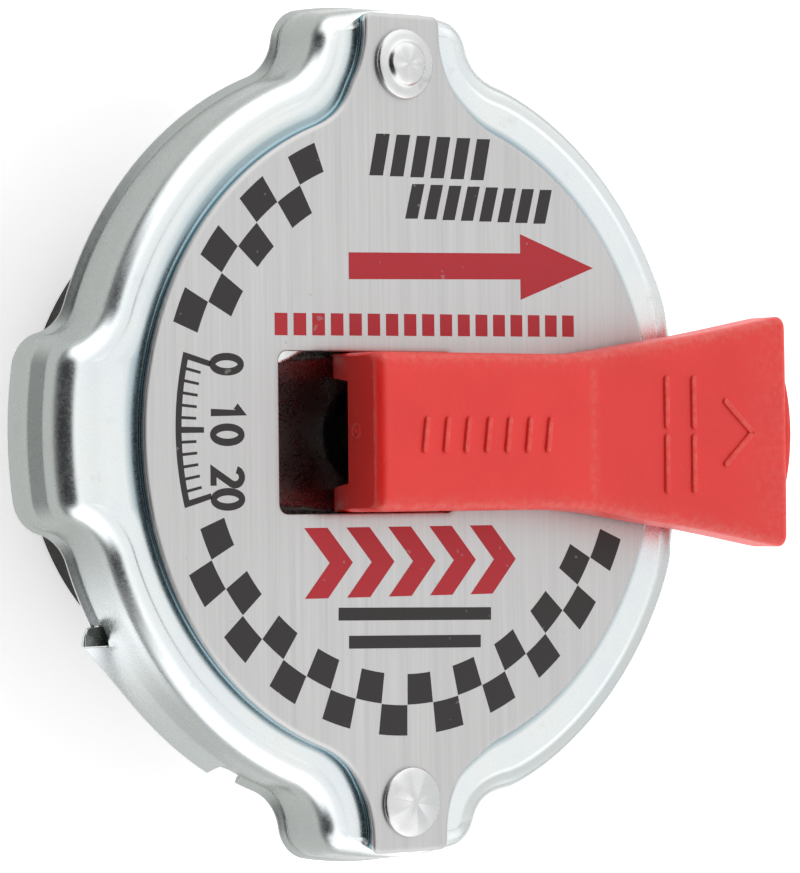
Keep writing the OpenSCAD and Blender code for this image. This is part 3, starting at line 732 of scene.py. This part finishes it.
def strip_shape(bld, points, width, closed=False):
    """A printed line of even width through points."""
    p = np.asarray(points, float) + np.array([0.0, 0.2])
    before = np.roll(p, 1, axis=0)
    after = np.roll(p, -1, axis=0)
    if not closed:
        before[0] = 2 * p[0] - p[1]
        after[-1] = 2 * p[-1] - p[-2]
    d0 = (p - before) / np.linalg.norm(p - before, axis=1)[:, None]
    d1 = (after - p) / np.linalg.norm(after - p, axis=1)[:, None]
    n0 = np.column_stack([-d0[:, 1], d0[:, 0]])
    n1 = np.column_stack([-d1[:, 1], d1[:, 0]])
    mid = n0 + n1
    mid = mid / np.linalg.norm(mid, axis=1)[:, None]
    mid = mid / np.maximum((mid * n0).sum(axis=1), 0.5)[:, None]
    left, right = p + mid * width / 2, p - mid * width / 2
    sections = [np.array([[*l, INK0], [*l, INK1], [*r, INK1], [*r, INK0]]) for l, r in zip(left, right)]
    bases = bld.rings(sections, wrap=closed)
    if not closed:
        bld.cap(bases[0], 4)
        bld.cap(bases[-1], 4)


def curve(x0, y0, rx, ry, a0, a1, n=14):
    a = np.radians(np.linspace(a0, a1, n))
    return list(zip(x0 + rx * np.cos(a), y0 + ry * np.sin(a)))


# plain numerals in a box one wide and two high
NUMERALS = {
    "0": (curve(0.5, 1.0, 0.40, 0.86, 0, 348, 30), True),
    "1": ([(0.16, 1.52), (0.50, 1.86), (0.50, 0.02)], False),
    "2": (curve(0.5, 1.44, 0.40, 0.42, 165, -30, 14) + [(0.16, 0.14), (0.94, 0.14)], False),
}

PITCH = 6.8966


def build_black():
    bld = Build()
    # checked bands
    for first, step, count, outer in ((203.80, PITCH, 20, False), (156.63, -PITCH, 7, True)):
        for k in range(count):
            c = first + step * k
            r0, r1 = (23.67, 26.33) if outer else (21.0, 23.67)
            bld.prism(sector(r0 + 0.02, r1 - 0.02, c - PITCH / 2 + 0.05, c + PITCH / 2 - 0.05), INK0, INK1)
            outer = not outer
    # two staggered rows of slanted stripes
    for x0, x1, y0, y1, k in ((-3.9, 9.6, 21.9, 25.5, 6), (0.0, 16.6, 18.3, 21.3, 8)):
        step = (x1 - x0) / k
        for i in range(k):
            bld.prism(rect(x0 + i * step, y0, x0 + (i + 0.66) * step, y1, 0.9, 1.5), INK0, INK1)
    # two thin rules
    bld.prism(rect(-7.7, -16.4, 9.2, -15.3, 0, -1.2), INK0, INK1)
    bld.prism(rect(-6.6, -18.8, 8.0, -17.7, 0, -1.2), INK0, INK1)
    # plain dial at the left: ticks on an arc, and round numbers that read downwards
    for k in range(13):
        a = 180.0 + (k - 6) * 2.45
        big = k % 6 == 0
        bld.prism(sector(21.7 if big else 22.5, 24.0, a - (0.62 if big else 0.30), a + (0.62 if big else 0.30), 3), INK0, INK1)
    bld.prism(sector(24.0, 24.6, 164.7, 195.3, 40), INK0, INK1)
    for text, y in (("0", 6.3), ("10", 2.25), ("20", -3.15)):
        for i, digit in enumerate(text):
            line, closed = NUMERALS[digit]
            q = np.array(line)
            strip_shape(bld, np.column_stack([-21.0 + 1.72 * q[:, 1], y - i * 1.85 - 1.6 * q[:, 0]]), 0.62, closed)
    return bld.object("print_black", [black_ink], sharp=20.0)


def build_red():
    bld = Build()
    # broad arrow towards the free end of the lever
    arrow = [(-6.2, 12.9), (13.0, 13.3), (13.0, 11.5), (21.5, 14.5), (13.0, 17.3), (13.0, 15.6), (-6.2, 15.2)]
    bld.prism(arrow[::1], INK0, INK1)
    # row of short dashes
    for k in range(17):
        x = -14.2 + k * 2.0
        bld.prism(rect(x, 8.0 + 0.02 * k, x + 1.35, 9.9 + 0.02 * k), INK0, INK1)
    # chevrons
    for k in range(5):
        x = -11.3 + k * 4.55
        bld.prism([(x, -14.3), (x + 2.5, -14.3), (x + 5.2, -11.3), (x + 2.5, -8.3), (x, -8.3), (x + 2.7, -11.3)], INK0, INK1)
    return bld.object("print_red", [red_ink], sharp=20.0)


for ob in (build_black(), build_red()):
    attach(ob, "cover")


# ---------------------------------------------------------------- rivets
def build_rivet(name, y, upper):
    bld = Build()
    n = 96
    a = np.linspace(0, 2 * math.pi, n, endpoint=False)
    if upper:
        prof = [(3.02, 26.50), (3.06, 26.58), (3.05, 26.76), (2.99, 26.86), (2.84, 26.93), (2.5, 26.98), (2.2, 27.01), (1.98, 27.05), (1.88, 27.13), (1.80, 27.23), (1.66, 27.29),
                (1.4, 27.345), (1.0, 27.38), (0.6, 27.395), (0.25, 27.40)]
    else:
        prof = [(3.02, 26.50), (3.06, 26.58), (3.05, 26.72), (2.99, 26.80), (2.86, 26.85), (2.6, 26.92), (2.2, 26.98), (1.7, 27.05), (1.2, 27.11), (0.7, 27.16), (0.3, 27.18)]
    rings = []
    for r, z in prof:
        t = 1 - r / 3.06
        if upper:
            wob = 0.03 * np.sin(2 * a + 0.7) * min(1, t * 3)
            zz = z + wob * 0.5 + 0.02 * np.sin(5 * a + 2.0) * (1 if r < 1.8 else 0.3)
            rr = r * (1 + 0.008 * np.sin(3 * a))
        else:
            saw = np.abs(((a / (2 * math.pi) * 5 + 0.15) % 1.0) - 0.5) * 2
            zz = z + (saw - 0.5) * 0.16 * min(1.0, t * 2.4) * (0.45 + 0.55 * (r / 3.06))
            rr = r * (1 + 0.010 * np.sin(2 * a + 1.0))
        rings.append(np.column_stack([rr * np.cos(a), y + rr * np.sin(a), zz]))
    tail = [(1.5, 26.50), (1.5, 25.25), (2.15, 25.15), (2.2, 24.8), (2.1, 24.45), (1.6, 24.3)]
    under = [np.column_stack([r * np.cos(a), y + r * np.sin(a), np.full(n, z)]) for r, z in tail]
    allr = under[::-1] + rings
    b = bld.rings(allr)
    bld.cap(b[0], n)
    bld.cap(b[-1], n)
    ob = bld.object(name, [rivet_alu], sharp=40.0)
    return ob


for name, y, upper in (("plate_rivet_upper", 31.84, True), ("plate_rivet_lower", -31.84, False)):
    ob = build_rivet("rivet_upper" if upper else "rivet_lower", y, upper)
    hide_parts(name)
    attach(ob, "cover")

# ---------------------------------------------------------------- lever
PIVOT_Z, CAM_A, LIFT = 25.5, 3.9, 3.15
CAM_B = LIFT / (math.pi / 2)
L_TOP, L_UNDER, FOOT, HW = 31.5, 26.8, 7.05, 6.8
BEND_X, BEND, END_S, END_R = 17.2, math.radians(5.0), 38.85, 0.85


def cam_curve():
    a = np.radians(np.arange(90, -1, -3))
    p = CAM_A + CAM_B * a
    x = -p * np.sin(a) - CAM_B * np.cos(a)
    z = PIVOT_Z - p * np.cos(a) + CAM_B * np.sin(a)
    b = np.radians(np.arange(6, 87, 4))
    x = np.concatenate([x, CAM_A * np.sin(b), [4.25, 4.6]])
    z = np.concatenate([z, PIVOT_Z - CAM_A * np.cos(b), [26.5, L_UNDER]])
    return x, z


def bend(p):
    """Turns the handle up past the bend, with a short soft crease."""
    p = np.array(p, float)
    s = p[:, 0] - BEND_X
    soft = 1.1
    angle = BEND * smoothstep((s + soft) / (2 * soft))
    # height and run gained along the bend, integrated in closed form for the small angle
    t = np.clip((s + soft) / (2 * soft), 0, 1)
    rise = BEND * (2 * soft * (t ** 3 - t ** 4 / 2) + np.maximum(s - soft, 0))
    out = p.copy()
    dz = p[:, 2] - L_TOP
    out[:, 0] = p[:, 0] - dz * np.sin(angle) - np.maximum(s, 0) * (1 - math.cos(BEND))
    out[:, 2] = L_TOP + rise + dz * np.cos(angle)
    return out


def lever_width(x):
    return np.interp(x, [-100, 12.0, 15.4, 17.2, 18.5, 19.9, 28.7, 33.2, 36.6, END_S], [HW, HW, 6.85, 6.99, 7.16, 7.38, 8.70, 9.50, 10.15, 10.55])


def build_lever():
    bld = Build()
    cx, cz = cam_curve()
    order = np.argsort(cx)
    cx, cz = cx[order], cz[order]
    r_end = 1.0
    xs = np.concatenate([
        -FOOT + r_end * (np.cos(0.42) - np.cos(np.linspace(0.42, math.pi / 2, 9))) / np.cos(0.42),
        np.linspace(-6.1, -5.3, 4), [-5.2, -5.15],
        np.linspace(-4.9, 4.9, 50), np.linspace(5.4, 15.8, 16), np.linspace(16.1, 18.5, 17), np.linspace(18.9, 37.7, 44),
        END_S - END_R * np.cos(np.linspace(0.0, math.pi / 2, 13)),
    ])
    xs = np.unique(np.round(xs, 4))
    sections, wear_and_highlight = [], []
    m_top = 26
    for x in xs:
        W = float(lever_width(x))
        zt, edge = L_TOP, 0.0
        dx = x + FOOT
        if dx < r_end:
            run = 1 - dx / r_end
            drop = 1.05 * (1 - math.sqrt(max(0.0, 1 - (run * math.cos(0.42)) ** 2))) / (1 - math.sin(0.42))
            zt -= 0.72 * drop
            W -= 0.30 * drop
            # edge lightens the top near each end: a painted highlight on the inner end's crease here, and on the free
            # end's rounded corner below
            edge = 1.25 * max(0.0, run - 0.86) / 0.14
        de = END_S - x
        if de < END_R:
            corner = END_R - math.sqrt(max(0.0, END_R ** 2 - (END_R - de) ** 2))
            W -= corner
            zt -= 0.8 * corner
            edge = 0.8
        in_handle = smoothstep((x - 17.0) / 3.0)
        zb = float(np.interp(x, cx, cz, left=27.3)) if x < 4.6 else L_UNDER
        zb = zb + float(in_handle) * (27.1 - L_UNDER) if x > 10 else zb
        zb = min(zb, 27.25) if x < -5.2 else zb
        wall = 2.1
        zr = 27.25 if (x <= -5.2 or x > END_S - 2.0) else L_TOP - 2.0
        if x > END_S - 2.0:
            zr = zb + 0.02
        if x < -5.2:
            zr = max(zb, 27.25)
        re = 0.85
        re = min(re, 0.45 * (zt - zb))
        crown = 0.05
        pts, wr = [], []
        pts.append((-W + 0.12, zb)); wr.append(0.2)
        pts.append((-W + 0.03, zb + 0.05)); wr.append(0.2)
        pts.append((-W, zb + 0.15)); wr.append(0.1)
        for t in np.linspace(0.25, 0.95, 4):
            pts.append((-W, zb + 0.15 + (zt - re - zb - 0.15) * t)); wr.append(0.15 + 0.25 * (t > 0.8))
        # the lighter band round each rounded edge, strongest midway round, is a painted highlight
        for t in np.linspace(0, math.pi / 2, 9):
            pts.append((-W + re * (1 - math.cos(t)), zt - re * (1 - math.sin(t)))); wr.append(0.55 + 0.45 * math.sin(2 * t))
        span = W - re
        # on the top, the bend's crease and the handle's end are lightened as painted highlights, and the edges as wear
        # and highlight
        for t in np.linspace(-1, 1, m_top + 1)[1:-1]:
            y = span * math.copysign(abs(t) ** 0.8, t)
            near = (W - abs(y))
            pts.append((y, zt + crown * (1 - t * t))); wr.append(max(edge * 0.8, 0.6 * math.exp(-(near - re) / 0.45), 0.45 * float(smoothstep((x - 31.5) / 7.0)), 0.8 * math.exp(-((x - 17.0) / 0.45) ** 2)))
        for t in np.linspace(math.pi / 2, 0, 9):
            pts.append((W - re * (1 - math.cos(t)), zt - re * (1 - math.sin(t)))); wr.append(0.55 + 0.45 * math.sin(2 * t))
        for t in np.linspace(0.95, 0.25, 4):
            pts.append((W, zb + 0.15 + (zt - re - zb - 0.15) * t)); wr.append(0.15 + 0.25 * (t > 0.8))
        pts.append((W, zb + 0.15)); wr.append(0.1)
        pts.append((W - 0.03, zb + 0.05)); wr.append(0.2)
        pts.append((W - 0.12, zb)); wr.append(0.2)
        inner = [(W - wall + 0.1, zb), (W - wall, zb + 0.1 if zr > zb + 0.1 else zb), (W - wall, max(zr - 0.4, zb)), (W - wall - 0.12, max(zr - 0.12, zb)), (W - wall - 0.4, zr)]
        pts += inner; wr += [0.1] * 5
        for t in np.linspace(0.8, -0.8, 9):
            pts.append(((W - wall - 0.4) * t, zr)); wr.append(0)
        pts += [(-y, z) for y, z in inner[::-1]]; wr += [0.1] * 5
        sec = np.array([(x, y, z) for y, z in pts])
        sections.append(bend(sec))
        wear_and_highlight.append(np.array(wr))
    n = len(sections[0])
    for k in (0, -1):
        mid = sections[k].mean(axis=0)
        d = sections[k] - mid
        face = mid + d * (1 - 0.14 / np.maximum(np.linalg.norm(d, axis=1), 0.3))[:, None]
        if k == 0:
            sections.insert(0, face)
            wear_and_highlight.insert(0, np.zeros(n))
        else:
            sections.append(face)
            wear_and_highlight.append(np.full(n, 0.2))
    b = bld.rings(sections, a=wear_and_highlight)
    bld.cap(b[0], n)
    bld.cap(b[-1], n)

    def raised(outline, h):
        """A low rounded relief on the lever's top."""
        o = np.asarray(outline, float)
        d = np.roll(o, -1, axis=0) - np.roll(o, 1, axis=0)
        nrm = np.column_stack([d[:, 1], -d[:, 0]])
        nrm /= np.linalg.norm(nrm, axis=1)[:, None]
        rr = []
        for inset, z in ((-0.06, -0.15), (0.0, 0.02), (0.03, h * 0.6), (0.09, h * 0.93), (0.16, h)):
            q = o - nrm * inset
            rr.append(bend(np.column_stack([q, np.full(len(q), L_TOP + 0.03 + z)])))
        # the ribs' tops are lightened as a painted highlight
        bb = bld.rings(rr, a=[np.full(len(o), 0.2), np.full(len(o), 0.15), np.full(len(o), 0.4), np.full(len(o), 0.85), np.full(len(o), 0.9)])
        bld.cap(bb[-1], len(o))

    def bar(x0, y0, x1, y1, width=0.62, k=6):
        p, q = np.array([x0, y0]), np.array([x1, y1])
        d = (q - p) / np.linalg.norm(q - p)
        nn = np.array([-d[1], d[0]])
        out = []
        for c, s in ((q, 1), (p, -1)):
            for t in np.linspace(-math.pi / 2, math.pi / 2, k):
                out.append(c + s * (d * math.cos(t) + nn * math.sin(t)) * width / 2)
        return np.array(out)

    # a row of short ribs on the body
    for k in range(7):
        x = -2.2 + k * 2.3
        raised(bar(x, -1.55, x + 0.35, 1.0), 0.26)
    # a chevron and two long ribs on the handle
    for x in (25.0, 28.0):
        raised(bar(x, -5.2, x, -0.5), 0.24)
        raised(bar(x, 0.5, x, 4.7), 0.24)
    raised(bar(31.6, -2.9, 34.6, -0.1), 0.24)
    raised(bar(34.6, -0.1, 31.6, 2.7), 0.24)

    # thumb lip on the free end
    lip_r = 18.75
    a = np.linspace(-math.asin(5.25 / lip_r), math.asin(5.25 / lip_r), 25)
    rr = []
    for grow, z in ((-0.15, 27.15), (0.0, 27.3), (0.0, 30.75), (-0.06, 31.05), (-0.22, 31.24), (-0.5, 31.28), (-0.74, 31.22), (-0.84, 30.95)):
        xx = END_S - 0.12 + lip_r * (np.cos(a) - math.cos(a[0])) + grow
        yy = lip_r * np.sin(a) * (1 + min(0, grow) * 0.02)
        back = np.column_stack([np.full(2, END_S - 1.4), [yy[-1], yy[0]]])
        pts = np.vstack([np.column_stack([xx, yy]), back])
        rr.append(bend(np.column_stack([pts, np.full(len(pts), z)])))
    # the lip's rounded top edge is lightened as a painted highlight
    bb = bld.rings(rr, a=[np.full(len(rr[0]), q) for q in (0.1, 0.2, 0.35, 0.7, 0.6, 0.4, 0.1, 0.0)])
    bld.cap(bb[0], len(rr[0]))
    bld.cap(bb[-1], len(rr[0]))

    # gate mark on the inner end
    a = np.linspace(0, 2 * math.pi, 28, endpoint=False)
    rr = []
    for r, dx in ((0.72, 0.10), (0.66, -0.05), (0.55, -0.10), (0.45, -0.08), (0.40, 0.0), (0.22, 0.02), (0.15, -0.10), (0.07, -0.14)):
        rr.append(np.column_stack([np.full(28, -FOOT + dx + 0.02), 0.1 + r * np.cos(a), 28.35 + r * np.sin(a)]))
    # the gate mark's rims are lightened as a painted highlight
    bb = bld.rings(rr, a=[np.full(28, q) for q in (0.1, 0.5, 0.9, 0.7, 0.2, 0.2, 0.7, 0.9)])
    bld.cap(bb[-1], 28)
    return bld.object("vent_lever", [red], sharp=38.0, attr="wear_and_highlight")


lever = build_lever()
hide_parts("lever")
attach(lever, "lever")


# ---------------------------------------------------------------- springs
def build_coil(name, r, w, z0, z1, turns, mat, per_turn=64, sides=14, t0=0.0, t1=1.0):
    """A closed-end coil, or the share of it between t0 and t1 of its wire."""
    n = int(turns * per_turn)
    flat = 0.8 / turns
    t = np.linspace(0, 1, n + 1)
    u = np.clip((t - flat) / (1 - 2 * flat), 0, 1)
    z = np.where(t < flat, z0 + 2 * w * t / flat, np.where(t > 1 - flat, z1 - 2 * w * (1 - t) / flat, z0 + 2 * w + (z1 - z0 - 4 * w) * u))
    a = 2 * math.pi * turns * t
    b = 2 * math.pi * np.arange(sides) / sides
    bld = Build()
    sections = []
    for k in range(round(t0 * n), round(t1 * n) + 1):
        rad = r + w * np.cos(b)
        sections.append(np.column_stack([rad * math.cos(a[k]), rad * math.sin(a[k]), z[k] + w * np.sin(b)]))
    bb = bld.rings(sections)
    bld.cap(bb[0], sides)
    bld.cap(bb[-1], sides)
    return bld.object(name, [mat], sharp=50.0)


# the main spring's upper coils close up as the lever lifts the rod, and its lower
# coils as pressure lifts the valve along the rod; the two lengths of wire meet at 10.5 mm
main_spring = build_coil("main_spring", 12.5, 0.95, 4.1 + 0.95, 18.9 - 0.95, 5, wire, t0=0.425)
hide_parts("pressure_spring")
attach(main_spring, "cover")
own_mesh(main_spring)
main_spring_foot = build_coil("main_spring_foot", 12.5, 0.95, 4.1 + 0.95, 18.9 - 0.95, 5, wire, t1=0.425)
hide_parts("pressure_spring")
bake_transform(main_spring_foot)

lo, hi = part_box("vacuum_spring")
light_spring = build_coil("light_spring", (hi.x - lo.x) / 2 / MM - 0.25, 0.25, lo.z / MM + 0.25, hi.z / MM - 0.25, 4, wire, 48, 10)
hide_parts("vacuum_spring")
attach(light_spring, "stem")
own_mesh(light_spring)

# ---------------------------------------------------------------- CAD nodes that stay in view
for name, mat in {
    "pivot_pin": turned, "lift_stem": turned, "spring_washer": turned, "retaining_ring": strip,
    "stem_seal": black_rubber, "upper_gasket": black_rubber, "lower_gasket": black_rubber, "vacuum_seal": black_rubber,
    # the centre eyelet is made near black as painted shade in the well
    "centre_eyelet": painted_shade_black, "vacuum_disc": brass, "diaphragm": strip, "spring_bell": yellow_zinc,
    "valve_plate": zinc_inner, "valve_cup": zinc_inner,
}.items():
    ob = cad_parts[name]
    ob.data.materials.clear()
    ob.data.materials.append(mat)

# ---------------------------------------------------------------- floor and light
fm, nt, b = material("pale_floor")
vec = coords(nt)
col = mixrgb(nt, noise(nt, vec, 9.0, 3.0), (0.93, 0.93, 0.93), (0.95, 0.95, 0.95))
nt.links.new(col, b.inputs["Base Color"])
b.inputs["Roughness"].default_value = 0.9
b.inputs["Specular IOR Level"].default_value = 0.1
b.inputs["Emission Color"].default_value = (1.0, 1.0, 1.0, 1.0)
b.inputs["Emission Strength"].default_value = 0.52
me = bpy.data.meshes.new("floor")
s = 3.0
me.from_pydata([(-s, -s, -0.00005), (s, -s, -0.00005), (s, s, -0.00005), (-s, s, -0.00005)], [], [(0, 1, 2, 3)])
me.materials.append(fm)
floor = bpy.data.objects.new("floor", me)
scene.collection.objects.link(floor)

world = bpy.data.worlds.new("studio")
scene.world = world
world.use_nodes = True
wt = world.node_tree
bg = wt.nodes["Background"]
tc = wt.nodes.new("ShaderNodeTexCoord")


def lobe(direction, near, far):
    """1 near a direction, 0 further than far (both in degrees)."""
    d = Vector(direction).normalized()
    dot = wt.nodes.new("ShaderNodeVectorMath")
    dot.operation = "DOT_PRODUCT"
    wt.links.new(tc.outputs["Generated"], dot.inputs[0])
    dot.inputs[1].default_value = d
    mr = wt.nodes.new("ShaderNodeMapRange")
    mr.interpolation_type = "SMOOTHSTEP"
    wt.links.new(dot.outputs["Value"], mr.inputs["Value"])
    mr.inputs["From Min"].default_value = math.cos(math.radians(far))
    mr.inputs["From Max"].default_value = math.cos(math.radians(near))
    return mr.outputs["Result"]


def between(axis, lo, hi):
    """0 below lo and 1 above hi, measured along one axis of the sky's direction."""
    sep = wt.nodes.new("ShaderNodeSeparateXYZ")
    wt.links.new(tc.outputs["Generated"], sep.inputs[0])
    mr = wt.nodes.new("ShaderNodeMapRange")
    mr.interpolation_type = "SMOOTHSTEP"
    wt.links.new(sep.outputs[axis], mr.inputs["Value"])
    mr.inputs["From Min"].default_value = lo
    mr.inputs["From Max"].default_value = hi
    return mr.outputs["Result"]


# an even sky: grey high up towards the lever's inner end, black round the
# camera, and a dim strip low down on the far side
sky = mixrgb(wt, between("Z", 0.02, 0.16), (0.42, 0.43, 0.44), (1.03, 1.03, 1.03))
left = mixrgb(wt, between("Z", 0.22, 0.50), (0.36, 0.36, 0.36), (0.12, 0.12, 0.125))
sky = mixrgb(wt, between("X", -0.55, -0.10), left, sky)
for side in (0.85, -0.85):
    sky = mixrgb(wt, lobe((0.2, side, 0.70), 6, 54), sky, (1.55, 1.55, 1.55))
sky = mixrgb(wt, lobe((-0.625, 0.0, 0.78), 28, 46), sky, (0.035, 0.035, 0.038))
wt.links.new(sky, bg.inputs["Color"])
bg.inputs["Strength"].default_value = 1.0


def area(name, loc, target, size, power):
    ld = bpy.data.lights.new(name, "AREA")
    ld.shape = "DISK"
    ld.size = size
    ld.energy = power
    ob = bpy.data.objects.new(name, ld)
    ob.location = loc
    ob.rotation_mode = "QUATERNION"
    ob.rotation_quaternion = (Vector(target) - Vector(loc)).to_track_quat("-Z", "Y")
    scene.collection.objects.link(ob)
    return ob


area("upper_box", (0.2, 0.95, 0.80), (0, 0, 0.02), 1.6, 0.8)
area("lower_box", (0.2, -0.95, 0.80), (0, 0, 0.02), 1.6, 0.8)
